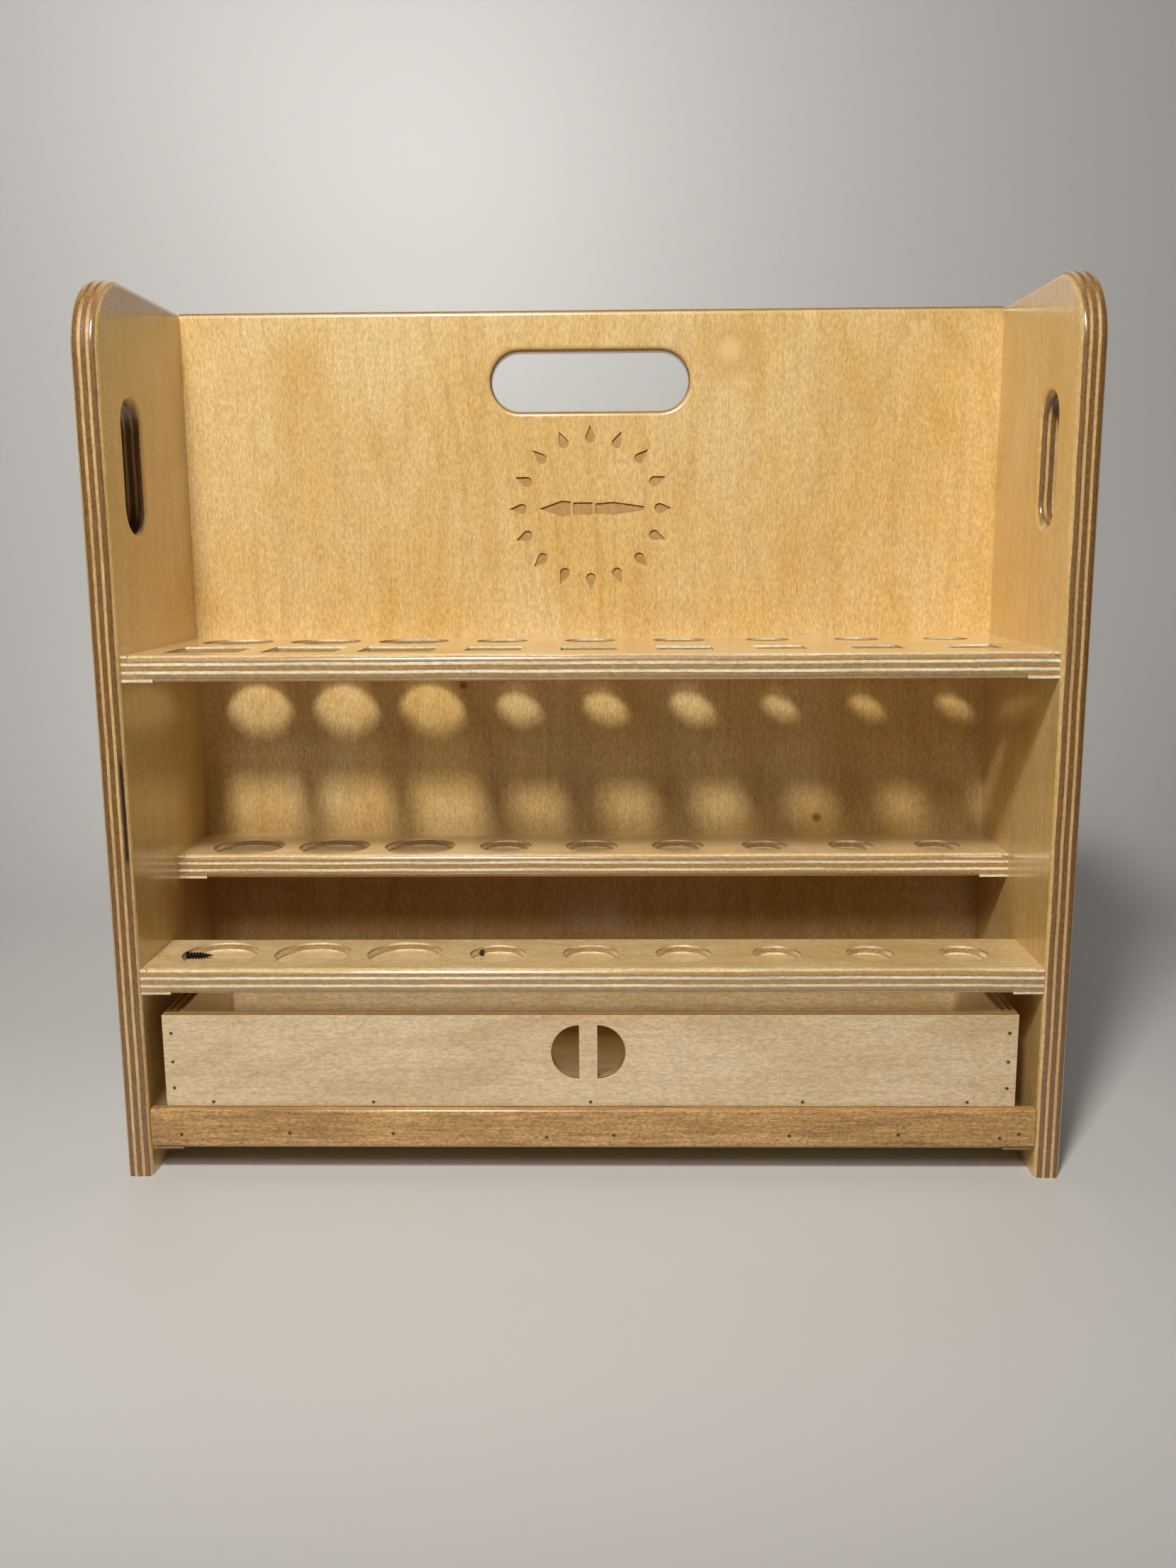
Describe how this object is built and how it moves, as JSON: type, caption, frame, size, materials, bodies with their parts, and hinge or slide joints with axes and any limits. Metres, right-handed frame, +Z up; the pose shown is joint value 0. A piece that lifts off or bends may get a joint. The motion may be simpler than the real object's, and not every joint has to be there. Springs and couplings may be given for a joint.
{
  "type": "paint rack organizer",
  "caption": "Plywood desk rack for paint pots: a holed top shelf over two stepped pocket shelves, carry slots in the back and sides, and a shallow drawer.",
  "frame": {"origin": "middle of the footprint, on the table under the side panels", "axes": "+X from the large holes to the small ones, -Y out of the front, +Z up"},
  "size_m": [0.446, 0.131, 0.4165],
  "materials": {
    "plywood": "clear satin lacquer over birch plywood, layered edges showing",
    "drawer_plywood": "clear satin lacquer over thin plywood",
    "hardwood": "clear lacquer over brown solid wood",
    "black_screw": "black phosphate",
    "nail_steel": "plain dull steel"
  },
  "bodies": {
    "carcass": {"left_side_panel": "plywood", "right_side_panel": "plywood", "back_panel": "plywood", "top_shelf": "plywood", "middle_shelf": "plywood", "lower_shelf": "plywood", "bottom_panel": "plywood", "front_lath": "hardwood", "left_runner": "hardwood", "right_runner": "hardwood", "top_shelf_screws": "black_screw", "middle_shelf_screws": "black_screw", "lower_shelf_screws": "black_screw", "bottom_panel_screws": "black_screw", "back_panel_screws": "black_screw", "lath_nails": "nail_steel"},
    "drawer": {"drawer_front": "drawer_plywood", "drawer_left_side": "drawer_plywood", "drawer_right_side": "drawer_plywood", "drawer_back": "drawer_plywood", "drawer_floor": "drawer_plywood", "drawer_front_nails": "nail_steel", "drawer_back_nails": "nail_steel", "drawer_side_nails": "nail_steel"}
  },
  "joints": [
    {"name": "drawer_slide", "type": "slide", "parent": "carcass", "child": "drawer", "axis": [0, -1, 0], "range_m": [-0.017, 0.08]}
  ]
}
